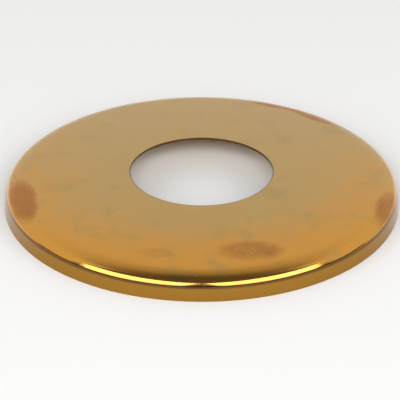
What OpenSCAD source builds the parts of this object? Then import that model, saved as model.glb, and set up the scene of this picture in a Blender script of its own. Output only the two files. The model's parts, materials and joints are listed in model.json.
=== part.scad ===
// Tap rosette: the thin brass cover that slides over a pipe and hides the hole in the wall
// behind a tap. One pressed sheet: a shallow dome with a punched hole, a soft shoulder, a
// tight bend all round and a short skirt that flares a little towards the wall.
// Millimetres, +Z away from the wall, origin on the wall at the centre of the pipe hole.

/* [Rosette] */
// Outer diameter, at the skirt's lower edge
outer_d = 75; // [60:0.5:100]
// Overall height, from the wall to the top of the pipe hole's edge
height = 6.5; // [5.6:0.1:10]
// Thickness of the brass sheet
sheet = 0.4; // [0.3:0.05:0.7]

/* [Pipe hole] */
// Diameter of the hole, which clears a three-quarter inch pipe thread
hole_d = 27; // [15:0.5:40]
// Width and depth of the small chamfer that deburring leaves on the hole's upper edge
deburr = 0.08; // [0.02:0.01:0.15]

/* [Rim] */
// Height of the rim, from the wall to where the shoulder runs into the bend
rim_h = 4.1; // [3.4:0.1:4.6]
// Outside radius of the soft shoulder in which the dome turns down
shoulder_r = 9; // [5:0.5:12]
// Slope that the shoulder has reached where it runs into the bend
shoulder_slope = 24; // [20:1:30]
// Outside radius of the bend between shoulder and skirt
bend_r = 2; // [1:0.1:2.4]
// Angle by which the skirt flares outwards from upright
flare = 7.5; // [0:0.5:12]

/* [Hidden] */

outer_r = outer_d / 2;
hole_r = hole_d / 2;

// Direction in which the bend's and the shoulder's circles touch
turn_dir = [sin(shoulder_slope), cos(shoulder_slope)];

// Centre of the bend's circle. The skirt's line touches this circle and reaches outer_r at z = 0.
bend_z = rim_h - bend_r * turn_dir.y;
bend_x = outer_r - (bend_r + bend_z * sin(flare)) / cos(flare);
bend_c = [bend_x, bend_z];

// Centre of the shoulder's circle, which holds the bend's circle inside it
shoulder_c = bend_c - (shoulder_r - bend_r) * turn_dir;

// Highest point of the section, where the dome begins at the hole's chamfer
brink = [hole_r + deburr, height];

// The dome is part of a sphere centred on the axis. Its curve starts at the brink, holds the
// shoulder's circle inside it and touches it. brink_u is the brink's height above the sphere's
// centre: the root of the quadratic that follows from the brink's distance to that centre
// being longer, by shoulder_r, than the shoulder's.
brink_h = brink.y - shoulder_c.y;
dome_k = pow(brink_h, 2) - pow(shoulder_r, 2);
dome_q = (pow(shoulder_c.x, 2) - pow(brink.x, 2) + dome_k) / 2;
brink_u = (dome_q * brink_h + shoulder_r * sqrt(pow(dome_q, 2) + pow(brink.x, 2) * dome_k)) / dome_k;
dome_c = [0, brink.y - brink_u];
dome_r = norm(brink - dome_c);

// Direction in which the dome's and the shoulder's circles touch
dome_dir = (shoulder_c - dome_c) / norm(shoulder_c - dome_c);

// Direction square to the skirt, where the bend runs out into its straight line
skirt_dir = [cos(flare), sin(flare)];

// Distance by which cutting shapes pass the faces that they cut
over = 1;

// How far each tighter curve stands proud of the wider one that it joins, so that they cross
lap = 0.001;

// Facets of a full turn, and of the bend's, the shoulder's and the dome's circles
turn_fn = 240;
bend_fn = 144;
shoulder_fn = 288;
dome_fn = 2400;

// Half section of a disc's share of the sheet, from the line x = from_x to the ray that leaves
// corner in the direction dir, down to the level base_z
module disc_share(centre, r, fn, from_x, corner, dir, base_z) {
    top_z = height + over;
    past = corner + (top_z - corner.y) / dir.y * dir;
    intersection() {
        translate(centre) circle(r = r, $fn = fn);
        polygon([[from_x, base_z], [corner.x, base_z], corner, past, [from_x, top_z]]);
    }
}

// Half section of all that lies under a skin, inset below the rosette's outer surface: the
// dome, the shoulder, the bend's disc and the skirt's wedge, down to the level base_z
module under_skin(inset, base_z) {
    dome_foot = [dome_dir.x / dome_dir.y * (base_z - dome_c.y), base_z];
    skirt_foot = [outer_r - inset / cos(flare) - base_z * tan(flare), base_z];
    disc_share(dome_c, dome_r - inset, dome_fn, 0, dome_foot, dome_dir, base_z);
    disc_share(
        shoulder_c, shoulder_r - inset + lap, shoulder_fn, dome_foot.x - over, bend_c, turn_dir, base_z
    );
    translate(bend_c) circle(r = bend_r - inset + 2 * lap, $fn = bend_fn);
    polygon([[bend_c.x, base_z], skirt_foot, bend_c + (bend_r - inset) * skirt_dir, bend_c]);
}

// Half section of what the punch and the deburring tool take away: the hole, and above it
// everything over a 45 degree line that passes through the brink
module hole_cut() {
    translate([0, -over]) square([hole_r, height + 2 * over]);
    polygon([brink - [deburr + over, deburr + over], brink + [over, over], brink + [-over, over]]);
}

// Half section of the sheet
module sheet_section() {
    difference() {
        under_skin(0, 0);
        under_skin(sheet, -over);
        hole_cut();
    }
}

module rosette() {
    color([0.74, 0.55, 0.27])
        rotate_extrude($fn = turn_fn)
            sheet_section();
}

rosette();
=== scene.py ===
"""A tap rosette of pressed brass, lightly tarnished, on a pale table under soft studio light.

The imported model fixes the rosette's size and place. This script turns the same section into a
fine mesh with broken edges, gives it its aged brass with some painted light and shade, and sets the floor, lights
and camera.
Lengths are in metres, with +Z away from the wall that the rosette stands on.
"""

import json
import math

import bpy
import numpy as np
from bpy.props import FloatProperty, FloatVectorProperty, IntProperty, PointerProperty
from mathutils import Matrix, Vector


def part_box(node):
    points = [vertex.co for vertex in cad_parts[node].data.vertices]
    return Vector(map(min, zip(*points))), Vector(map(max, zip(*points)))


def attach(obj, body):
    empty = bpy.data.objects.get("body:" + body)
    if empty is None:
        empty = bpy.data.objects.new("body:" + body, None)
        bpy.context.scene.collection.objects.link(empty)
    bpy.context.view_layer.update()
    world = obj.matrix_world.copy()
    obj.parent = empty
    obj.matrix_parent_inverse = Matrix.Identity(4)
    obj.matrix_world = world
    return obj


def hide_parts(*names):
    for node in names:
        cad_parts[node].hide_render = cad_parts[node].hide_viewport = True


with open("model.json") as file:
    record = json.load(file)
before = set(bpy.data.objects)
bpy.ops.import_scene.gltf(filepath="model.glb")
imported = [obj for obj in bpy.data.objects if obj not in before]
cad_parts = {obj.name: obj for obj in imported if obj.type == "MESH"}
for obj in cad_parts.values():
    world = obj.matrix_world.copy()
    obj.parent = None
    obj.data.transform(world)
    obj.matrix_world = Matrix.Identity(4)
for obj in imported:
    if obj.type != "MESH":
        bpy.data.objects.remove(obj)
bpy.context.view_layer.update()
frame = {"record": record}

bl_info = {
    "name": "Tap rosette",
    "version": (1, 0, 0),
    "blender": (4, 5, 0),
    "location": "3D View > Sidebar > Rosette",
    "description": "Makes a pressed brass tap rosette and a plain studio for it",
    "category": "Object",
}

MM = 0.001
NODE = "rosette"
BODY = "root"

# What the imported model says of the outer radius, the overall height and the pipe hole
OUTER_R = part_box(NODE)[1].x
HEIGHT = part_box(NODE)[1].z
HOLE_R = next(m for m in frame["record"]["mounts"] if m["name"] == "pipe_hole")["dims"]["r_mm"] * MM


# Properties

def length(name, description, default):
    """A property that holds a small length."""
    return FloatProperty(name=name, description=description, default=default, unit="LENGTH", precision=5)


def angle(name, description, degrees):
    """A property that holds an angle."""
    return FloatProperty(name=name, description=description, default=math.radians(degrees), unit="ROTATION")


def strength(name, description, default):
    """A property that holds how much light something gives."""
    return FloatProperty(name=name, description=description, default=default, min=0, precision=3)


def share(name, description, default):
    """A property that holds a share from 0 to 1."""
    return FloatProperty(name=name, description=description, default=default, min=0, max=1)


def colour(name, description, default):
    """A property that holds a linear colour."""
    return FloatVectorProperty(
        name=name, description=description, default=default, subtype="COLOR", size=3, min=0, max=1
    )


class RosetteShape(bpy.types.PropertyGroup):
    """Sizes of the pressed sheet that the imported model's box doesn't give."""

    sheet: length("Sheet", "Thickness of the brass", 0.4 * MM)
    rim_h: length("Rim height", "From the wall to where the shoulder runs into the bend", 4.1 * MM)
    shoulder_r: length("Shoulder radius", "Outside radius in which the dome turns down", 9.0 * MM)
    shoulder_slope: angle("Shoulder slope", "Slope where the shoulder runs into the bend", 24)
    bend_r: length("Bend radius", "Outside radius between shoulder and skirt", 2.0 * MM)
    flare: angle("Flare", "Lean of the skirt from upright", 7.5)
    punch_r: length("Punched edge", "Round of the hole's upper edge", 0.1 * MM)
    cut_r: length("Cut edge", "Round of the other cut edges", 0.05 * MM)
    turn_steps: IntProperty(name="Steps round", description="Faces in one turn", default=432, min=24)


class BrassFinish(bpy.types.PropertyGroup):
    """Colours and gloss of the aged brass."""

    brass: colour("Brass", "The worn metal of the dome", (0.72, 0.47, 0.165))
    # Golden is partly the deeper tarnish film and partly painted reflection: it also makes the front of the dome
    # warmer.
    golden_and_painted_light: colour("Golden", "The deeper film towards the rim", (0.93, 0.445, 0.066))
    # Umber is partly a brown film and partly painted shade: it darkens the skirt to stand in for the shaded floor
    # that the skirt reflects.
    umber_and_painted_shade: colour("Umber", "The brown film on the skirt", (0.38, 0.185, 0.018))
    tarnish: colour("Tarnish", "Orange-brown tarnish in patches", (0.62, 0.24, 0.04))
    # Pits also gives the painted dark line over the skirt, a painted dark reflection, and the dark cut edge of
    # the hole.
    pits_and_painted_dark_line: colour("Pits", "Dark specks and the dark line over the skirt", (0.13, 0.052, 0.014))
    verdigris: colour("Dull green", "The first greenish dulling", (0.55, 0.40, 0.13))
    raw: colour("Raw", "The unlacquered brass inside", (0.42, 0.27, 0.10))
    dome_rough: share("Dome roughness", "Satin of the dome", 0.34)
    bend_rough: share("Bend roughness", "Gloss of the bend", 0.13)
    lacquer: share("Lacquer", "How much of the clear lacquer is left", 0.35)


class RosetteStudio(bpy.types.PropertyGroup):
    """Camera, floor and lights."""

    distance: length("Distance", "From the camera to the middle of the floor", 525.0 * MM)
    elevation: angle("Elevation", "Camera above the floor", 28.8)
    lens: FloatProperty(name="Lens", description="Focal length on a 36 mm frame", default=247.8, unit="CAMERA")
    floor: colour("Floor", "The pale table", (0.88, 0.88, 0.88))
    backdrop: strength("Backdrop", "Glow of the backdrop", 0.64)
    room: strength("Room", "Glow of the room around", 0.1)
    softbox: strength("Softboxes", "Watts of each front light", 9.0)
    fill: strength("Fill", "Watts of the light over the camera", 6.6)


# Shape

def arc(centre, radius, start, end, steps):
    """Points of a circle round centre between two angles, each centre + radius * (cos, sin)."""
    angle = np.linspace(start, end, steps + 1)
    return np.array(centre) + radius * np.stack([np.cos(angle), np.sin(angle)], axis=1)


def dome_circle(brink, bend_c, bend_r):
    """Centre height and radius of the circle that is centred on the axis, passes through the
    brink and holds the bend's circle inside it, touching it. With u the brink's height over the
    centre: the brink's distance to the centre less the bend's distance is the bend's radius."""
    h = brink[1] - bend_c[1]
    k = h * h - bend_r * bend_r
    q = (bend_c[0] ** 2 - brink[0] ** 2 + k) / 2
    u = (q * h + bend_r * math.sqrt(q * q + brink[0] ** 2 * k)) / k
    return brink[1] - u, math.hypot(brink[0], u)


def section(shape):
    """Closed half section of the sheet as (radius, height) points, with how far each point lies
    from the hole along the outer skin. The stretches follow each other up the hole's wall, over
    the dome, round the bend, down the skirt, and back on the inner side."""
    sheet, bend_r, flare = shape.sheet, shape.bend_r, shape.flare
    punch_r, cut_r = shape.punch_r, shape.cut_r
    down = math.pi / 2 - shape.shoulder_slope
    turn = np.array([math.cos(down), math.sin(down)])
    bend_z = shape.rim_h - bend_r * turn[1]
    bend_c = (OUTER_R - (bend_r + bend_z * math.sin(flare)) / math.cos(flare), bend_z)
    shoulder_r = shape.shoulder_r
    shoulder_c = np.array(bend_c) - (shoulder_r - bend_r) * turn
    dome_z, dome_r = dome_circle((HOLE_R + punch_r, HEIGHT), shoulder_c, shoulder_r)
    inner_r = dome_r - sheet

    def foot(inset, z):
        """Point of the skirt's line at height z, inset below the outer skin."""
        return (OUTER_R - inset / math.cos(flare) - z * math.tan(flare), z)

    def hole_edge(radius, reach):
        """Centre of a round on the hole's edge that lies reach from the dome's centre, and the
        angle at which it is seen from there."""
        x = HOLE_R + radius
        z = dome_z + math.sqrt(reach * reach - x * x)
        return (x, z), math.atan2(z - dome_z, x)

    punch_c, punch_a = hole_edge(punch_r, dome_r - punch_r)
    under_c, under_a = hole_edge(cut_r, inner_r + cut_r)
    touch_a = math.atan2(shoulder_c[1] - dome_z, shoulder_c[0])
    outer = [
        arc(punch_c, punch_r, math.pi, punch_a, 8),
        arc((0, dome_z), dome_r, punch_a, touch_a, 56),
        arc(shoulder_c, shoulder_r, touch_a, down, 16),
        arc(bend_c, bend_r, down, flare, 36),
        arc(foot(cut_r, cut_r), cut_r, flare, -math.pi / 2, 5),
    ]
    inner = [
        arc(foot(sheet - cut_r, cut_r), cut_r, -math.pi / 2, flare - math.pi, 5),
        arc(bend_c, bend_r - sheet, flare, down, 20),
        arc(shoulder_c, shoulder_r - sheet, down, touch_a, 8),
        arc((0, dome_z), inner_r, touch_a, under_a, 40),
        arc(under_c, cut_r, under_a - math.pi, -math.pi, 5),
    ]
    skirt = np.linspace(outer[3][-1], outer[4][0], 14)
    inner_skirt = np.linspace(inner[0][-1], inner[1][0], 8)
    outer.insert(4, skirt)
    inner.insert(1, inner_skirt)
    outer_line = drop_repeats(np.concatenate(outer))
    inner_line = drop_repeats(np.concatenate(inner))
    step = np.linalg.norm(np.diff(outer_line, axis=0), axis=1)
    run = np.concatenate([[0.0], np.cumsum(step)])
    line = np.concatenate([outer_line, inner_line])
    from_hole = np.concatenate([run, np.full(len(inner_line), -1.0)])
    return line, from_hole


def drop_repeats(points):
    """The points without those that lie on the one before."""
    gap = np.linalg.norm(np.diff(points, axis=0), axis=1)
    return points[np.concatenate([[True], gap > 1e-9])]


def revolve(line, steps):
    """Surface of revolution: the point at angle a and section point (r, z) is
    (r cos a, r sin a, z). Gives the vertices, ring after ring, and the quads between rings."""
    angle = np.linspace(0, 2 * math.pi, steps, endpoint=False)[:, None]
    r, z = line[:, 0][None, :], line[:, 1][None, :]
    points = np.stack([r * np.cos(angle), r * np.sin(angle), np.broadcast_to(z, (steps, len(line)))], axis=2)
    ring = np.arange(steps)[:, None] * len(line)
    next_ring = np.roll(ring, -1, axis=0)
    here = np.arange(len(line))[None, :]
    there = np.roll(here, -1, axis=1)
    quads = np.stack([ring + here, ring + there, next_ring + there, next_ring + here], axis=2)
    return points.reshape(-1, 3), quads.reshape(-1, 4)


def make_piece(name, points, quads):
    """A mesh object at the origin from arrays of vertices and quads, shaded smooth."""
    mesh = bpy.data.meshes.new(name)
    mesh.vertices.add(len(points))
    mesh.vertices.foreach_set("co", points.astype(np.float32).ravel())
    mesh.loops.add(quads.size)
    mesh.loops.foreach_set("vertex_index", quads.astype(np.int32).ravel())
    mesh.polygons.add(len(quads))
    mesh.polygons.foreach_set("loop_start", np.arange(0, quads.size, 4, dtype=np.int32))
    mesh.polygons.foreach_set("use_smooth", np.ones(len(quads), dtype=bool))
    mesh.update(calc_edges=True)
    mesh.validate()
    piece = bpy.data.objects.new(name, mesh)
    bpy.context.scene.collection.objects.link(piece)
    return piece


# Shader maths

class Field:
    """A socket whose value varies over a surface. Sums, products and the like of fields and
    numbers add Math nodes, and node() adds any other node to the same tree."""

    def __init__(self, tree, socket=None):
        self.tree = tree
        self.socket = socket

    def node(self, kind, settings=None, inputs=None, output=0):
        """Adds a node of that kind, with its settings first and then its sockets' values or
        links, and gives the field of one of its outputs."""
        made = self.tree.nodes.new(kind)
        for key, value in (settings or {}).items():
            setattr(made, key, value)
        for key, value in (inputs or {}).items():
            if isinstance(value, Field):
                self.tree.links.new(value.socket, made.inputs[key])
            else:
                made.inputs[key].default_value = value
        return Field(self.tree, made.outputs[output] if made.outputs else None)

    def math(self, operation, *values, clamp=False):
        return self.node(
            "ShaderNodeMath", {"operation": operation, "use_clamp": clamp}, dict(enumerate(values))
        )

    def __add__(self, other):
        return self.math("ADD", self, other)

    def __sub__(self, other):
        return self.math("SUBTRACT", self, other)

    def __rsub__(self, other):
        return self.math("SUBTRACT", other, self)

    def __mul__(self, other):
        return self.math("MULTIPLY", self, other)

    def __truediv__(self, other):
        return self.math("DIVIDE", self, other)

    def __pow__(self, other):
        return self.math("POWER", self, other)

    __radd__ = __add__
    __rmul__ = __mul__

    def ease(self, low, high):
        """0 below low and 1 above high, with a smooth turn between; low may be over high."""
        return self.node(
            "ShaderNodeMapRange",
            {"interpolation_type": "SMOOTHSTEP"},
            {"Value": self, "From Min": low, "From Max": high},
        )

    def blend(self, first, second):
        """Colour mix from first to second by this field."""
        return self.node(
            "ShaderNodeMix", {"data_type": "RGBA"}, {"Factor": self, 6: first, 7: second}, 2
        )


def rgba(values):
    return (*values, 1.0)


def new_material(name):
    """A material with an empty tree, and a field to build its nodes from."""
    material = bpy.data.materials.new(name)
    material.use_nodes = True
    material.node_tree.nodes.clear()
    return material, Field(material.node_tree)


class Skin:
    """The fields that the brass is painted with: the place in millimetres, the distance from the
    axis, how far a spot faces the front, and noises of several sizes."""

    def __init__(self, start):
        self.start = start
        place = start.node("ShaderNodeTexCoord", output="Object")
        self.place = start.node("ShaderNodeVectorMath", {"operation": "SCALE"}, {0: place, "Scale": 1 / MM})
        self.x, self.y, self.z = (
            start.node("ShaderNodeSeparateXYZ", inputs={0: self.place}, output=i) for i in range(3)
        )
        self.radius = (self.x * self.x + self.y * self.y) ** 0.5
        self.front = 0 - self.y / self.radius

    def noise(self, size, detail=3.0, shift=0.0, rough=0.5, squash=(1, 1, 1)):
        """Noise from 0 to 1 whose blots are about size millimetres across."""
        place = self.start.node(
            "ShaderNodeMapping", inputs={"Vector": self.place, "Location": (shift, shift, shift), "Scale": squash}
        )
        return self.start.node(
            "ShaderNodeTexNoise",
            inputs={"Vector": place, "Scale": 1 / size, "Detail": detail, "Roughness": rough},
        )

    def spot(self, x, y, wide, deep, lean=0.0):
        """1 in the middle of an oval that is centred on (x, y) and fades to 0 at its outline. Its
        half axes are wide and deep, and it leans by an angle in degrees."""
        c, s = math.cos(math.radians(lean)), math.sin(math.radians(lean))
        along = ((self.x - x) * c + (self.y - y) * s) / wide
        across = ((self.y - y) * c - (self.x - x) * s) / deep
        return (along * along + across * across).ease(1.0, 0.0)


def aged_brass(finish):
    """Worn brass sheet with painted light: metal whose tarnish film deepens towards the rim, painted reflection
    that warms it towards the front, soft blots, patches of tarnish and dark specks, painted shade that darkens
    the skirt and a painted dark line over it, under what is left of a clear lacquer."""
    material, start = new_material("aged_brass")
    skin = Skin(start)
    radius, z = skin.radius, skin.z
    cloud = skin.noise(9, 3)
    blot = skin.noise(3.2, 4, 11)
    grain = skin.noise(0.7, 4, 5, 0.6)

    # The mask deepens towards the rim for real tarnish, and towards the front as painted reflection: the near
    # side is made warmer to stand in for the warmer light it reflects.
    film_and_painted_light = radius.ease(12, 39) * (0.55 + skin.front * 0.62)
    film_and_painted_light = (film_and_painted_light + (cloud - 0.5) * 0.45 + (blot - 0.5) * 0.25).ease(0.0, 1.0)
    metal = film_and_painted_light.blend(rgba(finish.brass), rgba(finish.golden_and_painted_light))
    metal = (skin.noise(6, 3, 31).ease(0.52, 0.75) * 0.5).blend(metal, rgba(finish.verdigris))

    patches = (
        skin.spot(9, -28, 9, 4.5, 4) * 0.8
        + skin.spot(-8, -29, 6, 2.5, -10) * 0.5
        + skin.spot(-33.5, -8, 11, 3.5, -78) * 1.1
        + skin.spot(34.5, -10, 9, 3, 75) * 0.9
        + skin.spot(22, 26, 8, 2, -40) * 0.9
        + skin.spot(14, 31, 7, 1.4, -24) * 1.0
        + skin.spot(-27, -4, 8, 6, 0) * 0.35
    )
    patch = (patches * (0.35 + blot * 0.9 + grain * 0.5)).ease(0.25, 1.1)
    metal = patch.blend(metal, rgba(finish.tarnish))

    speck = skin.noise(0.45, 3, 3, 0.65).ease(0.6, 0.72)
    speck_place = (patches + radius.ease(33, 37) * 0.35).ease(0.15, 0.9)
    metal = (speck * speck_place * 0.75).blend(metal, rgba(finish.pits_and_painted_dark_line))

    # Painted shade: the skirt turns a darker brown, partly for its brown film and partly to stand in for the
    # darker, shaded floor just in front that it reflects.
    skirt = (z + (blot - 0.5) * 0.3).ease(3.1, 2.6)
    metal = skirt.blend(metal, rgba(finish.umber_and_painted_shade))
    # Painted reflection: a dark line is painted round the foot of the bend, standing in for the dark reflection
    # of the front horizon there.
    line = ((z - 2.75) / 0.45) ** 2
    metal = (line.ease(1.0, 0.0) * 0.85).blend(metal, rgba(finish.pits_and_painted_dark_line))

    punched = radius.ease(13.75, 13.55)
    metal = punched.blend(metal, rgba(finish.pits_and_painted_dark_line))

    bend = z.ease(4.5, 4.0)
    rough = finish.dome_rough + (finish.bend_rough - finish.dome_rough) * bend
    rough = rough + (blot - 0.5) * 0.06 + (grain - 0.5) * 0.08 + patch * 0.05 + speck * speck_place * 0.1
    bumps = skin.noise(0.25, 3, 7) * 0.35 + skin.noise(4, 2, 9) * 1.5
    normal = start.node("ShaderNodeBump", inputs={"Strength": 0.25, "Distance": 0.000004, "Height": bumps})
    shader = start.node(
        "ShaderNodeBsdfPrincipled",
        inputs={
            "Base Color": metal,
            "Metallic": 1.0,
            "Roughness": rough,
            "Normal": normal,
            "Coat Weight": finish.lacquer,
            "Coat Roughness": 0.2,
        },
    )
    start.node("ShaderNodeOutputMaterial", inputs={"Surface": shader})
    return material


def glow_material(name, colour_value, strength):
    """A surface that only gives light."""
    material, start = new_material(name)
    light = start.node("ShaderNodeEmission", inputs={"Color": rgba(colour_value), "Strength": strength})
    start.node("ShaderNodeOutputMaterial", inputs={"Surface": light})
    return material


def backdrop_material(studio):
    """A pale backdrop that gives light, and fades out towards the top."""
    material, start = new_material("backdrop_glow")
    place = start.node("ShaderNodeTexCoord", output="Object")
    height = start.node("ShaderNodeSeparateXYZ", inputs={0: place}, output="Z")
    top = rgba([studio.room / studio.backdrop] * 3)
    glow = height.ease(1.49, 1.15).blend(top, rgba((1.0, 0.98, 0.95)))
    shader = start.node(
        "ShaderNodeBsdfPrincipled",
        inputs={
            "Base Color": rgba((0.0, 0.0, 0.0)), "Specular IOR Level": 0.0,
            "Emission Color": glow, "Emission Strength": studio.backdrop,
        },
    )
    start.node("ShaderNodeOutputMaterial", inputs={"Surface": shader})
    return material


def floor_material(studio):
    """Smooth pale table."""
    material, start = new_material("pale_table")
    place = start.node("ShaderNodeTexCoord", output="Object")
    haze = start.node("ShaderNodeTexNoise", inputs={"Vector": place, "Scale": 9.0, "Detail": 3})
    tone = haze.blend(rgba(studio.floor), rgba([c * 0.985 for c in studio.floor]))
    shader = start.node(
        "ShaderNodeBsdfPrincipled", inputs={"Base Color": tone, "Roughness": 0.7, "Specular IOR Level": 0.2}
    )
    start.node("ShaderNodeOutputMaterial", inputs={"Surface": shader})
    return material


# Studio

def aim(item, target):
    """Turns a light or camera so that it looks at the target point."""
    item.rotation_euler = (Vector(target) - item.location).to_track_quat("-Z", "Y").to_euler()


def on_sphere(azimuth, elevation, distance):
    """Point at that distance from the origin. Azimuth 0 is in front, towards -Y, and grows to +X."""
    return Vector((
        distance * math.sin(azimuth) * math.cos(elevation),
        -distance * math.cos(azimuth) * math.cos(elevation),
        distance * math.sin(elevation),
    ))


def add_light(name, place, watts, size):
    """A rectangular area light at place that faces the origin."""
    lamp = bpy.data.lights.new(name, "AREA")
    lamp.shape = "RECTANGLE"
    lamp.size, lamp.size_y = size
    lamp.energy = watts
    item = bpy.data.objects.new(name, lamp)
    item.location = place
    bpy.context.scene.collection.objects.link(item)
    aim(item, (0, 0, 0))
    item.visible_camera = False
    return item


def sheet_points(corner_a, corner_b, corner_c, corner_d):
    """One quad from its four corners."""
    return np.array([corner_a, corner_b, corner_c, corner_d], dtype=float), np.array([[0, 1, 2, 3]])


def dome_part(radius, low, high, sweep, steps=48):
    """Part of a sphere round the origin: every direction whose elevation lies between low and
    high and whose azimuth lies within sweep of +Y, all in degrees."""
    turn, rise = np.meshgrid(
        np.radians(np.linspace(-sweep, sweep, steps + 1)), np.radians(np.linspace(low, high, steps + 1))
    )
    points = radius * np.stack([np.sin(turn) * np.cos(rise), np.cos(turn) * np.cos(rise), np.sin(rise)], axis=2)
    row = np.arange(steps)
    corner = (row[:, None] * (steps + 1) + row[None, :]).ravel()
    quads = np.stack([corner, corner + 1, corner + steps + 2, corner + steps + 1], axis=1)
    return points.reshape(-1, 3), quads


# Operators

class ROSETTE_OT_sheet(bpy.types.Operator):
    """Press the rosette out of brass sheet."""

    bl_idname = "rosette.sheet"
    bl_label = "Rosette"

    def execute(self, context):
        scene = context.scene
        line, from_hole = section(scene.rosette_shape)
        points, quads = revolve(line, scene.rosette_shape.turn_steps)
        piece = make_piece("rosette_sheet", points, quads)
        piece.data.materials.append(aged_brass(scene.rosette_finish))
        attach(piece, BODY)
        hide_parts(NODE)
        return {"FINISHED"}


class ROSETTE_OT_stage(bpy.types.Operator):
    """Set the pale floor, the backdrop, the soft lights and the camera."""

    bl_idname = "rosette.stage"
    bl_label = "Stage"

    def execute(self, context):
        studio = context.scene.rosette_studio
        half = 3.0
        floor = make_piece(
            "floor", *sheet_points((-half, -half, 0), (half, -half, 0), (half, half, 0), (-half, half, 0))
        )
        floor.data.materials.append(floor_material(studio))
        backdrop = make_piece("backdrop", *dome_part(1.5, 0, 88, 105))
        backdrop.data.materials.append(backdrop_material(studio))
        flag = make_piece("flag", *dome_part(1.45, 0, 7, 100))
        flag.rotation_euler.z = math.pi
        flag.data.materials.append(glow_material("black_cloth", (0.0, 0.0, 0.0), 0.0))
        for name, side in (("softbox_left", -1), ("softbox_right", 1)):
            place = on_sphere(side * math.radians(38.5), math.radians(27), 1.2)
            add_light(name, place, studio.softbox, (1.3, 0.76))
        fill = add_light("fill", on_sphere(0, math.radians(36), 1.2), studio.fill, (0.5, 0.3))
        fill.visible_glossy = False
        self.set_world(context.scene, studio)
        self.set_camera(context.scene, studio)
        return {"FINISHED"}

    def set_world(self, scene, studio):
        """Pale to the camera and nearly dark to everything else."""
        world = bpy.data.worlds.new("studio")
        world.use_nodes = True
        world.node_tree.nodes.clear()
        start = Field(world.node_tree)
        seen = start.node("ShaderNodeLightPath", output="Is Camera Ray")
        tone = seen.blend(rgba([studio.room] * 3), rgba((0.8, 0.8, 0.8)))
        shine = start.node("ShaderNodeBackground", inputs={"Color": tone})
        start.node("ShaderNodeOutputWorld", inputs={"Surface": shine})
        scene.world = world

    def set_camera(self, scene, studio):
        """A long lens at the photograph's viewing angle."""
        camera = bpy.data.cameras.new("camera")
        camera.lens = studio.lens
        camera.sensor_width = 36
        camera.clip_end = 20
        item = bpy.data.objects.new("camera", camera)
        item.location = on_sphere(0, studio.elevation, studio.distance)
        scene.collection.objects.link(item)
        aim(item, (-0.30 * MM, 0, 0.20 * MM))
        scene.camera = item
        scene.view_settings.view_transform = "Standard"


class ROSETTE_PT_panel(bpy.types.Panel):
    """Lists the rosette's steps and settings."""

    bl_idname = "ROSETTE_PT_panel"
    bl_label = "Tap rosette"
    bl_space_type = "VIEW_3D"
    bl_region_type = "UI"
    bl_category = "Rosette"

    def draw(self, context):
        scene = context.scene
        for operator, group in (
            (ROSETTE_OT_sheet, scene.rosette_shape),
            (None, scene.rosette_finish),
            (ROSETTE_OT_stage, scene.rosette_studio),
        ):
            if operator:
                self.layout.operator(operator.bl_idname)
            for key in group.bl_rna.properties.keys():
                if key not in ("rna_type", "name"):
                    self.layout.prop(group, key)


CLASSES = (RosetteShape, BrassFinish, RosetteStudio, ROSETTE_OT_sheet, ROSETTE_OT_stage, ROSETTE_PT_panel)
GROUPS = {"rosette_shape": RosetteShape, "rosette_finish": BrassFinish, "rosette_studio": RosetteStudio}


def register():
    for cls in CLASSES:
        bpy.utils.register_class(cls)
    for key, group in GROUPS.items():
        setattr(bpy.types.Scene, key, PointerProperty(type=group))


def unregister():
    for key in GROUPS:
        delattr(bpy.types.Scene, key)
    for cls in reversed(CLASSES):
        bpy.utils.unregister_class(cls)


def main():
    register()
    bpy.ops.rosette.sheet()
    bpy.ops.rosette.stage()


if __name__ == "__main__":
    main()
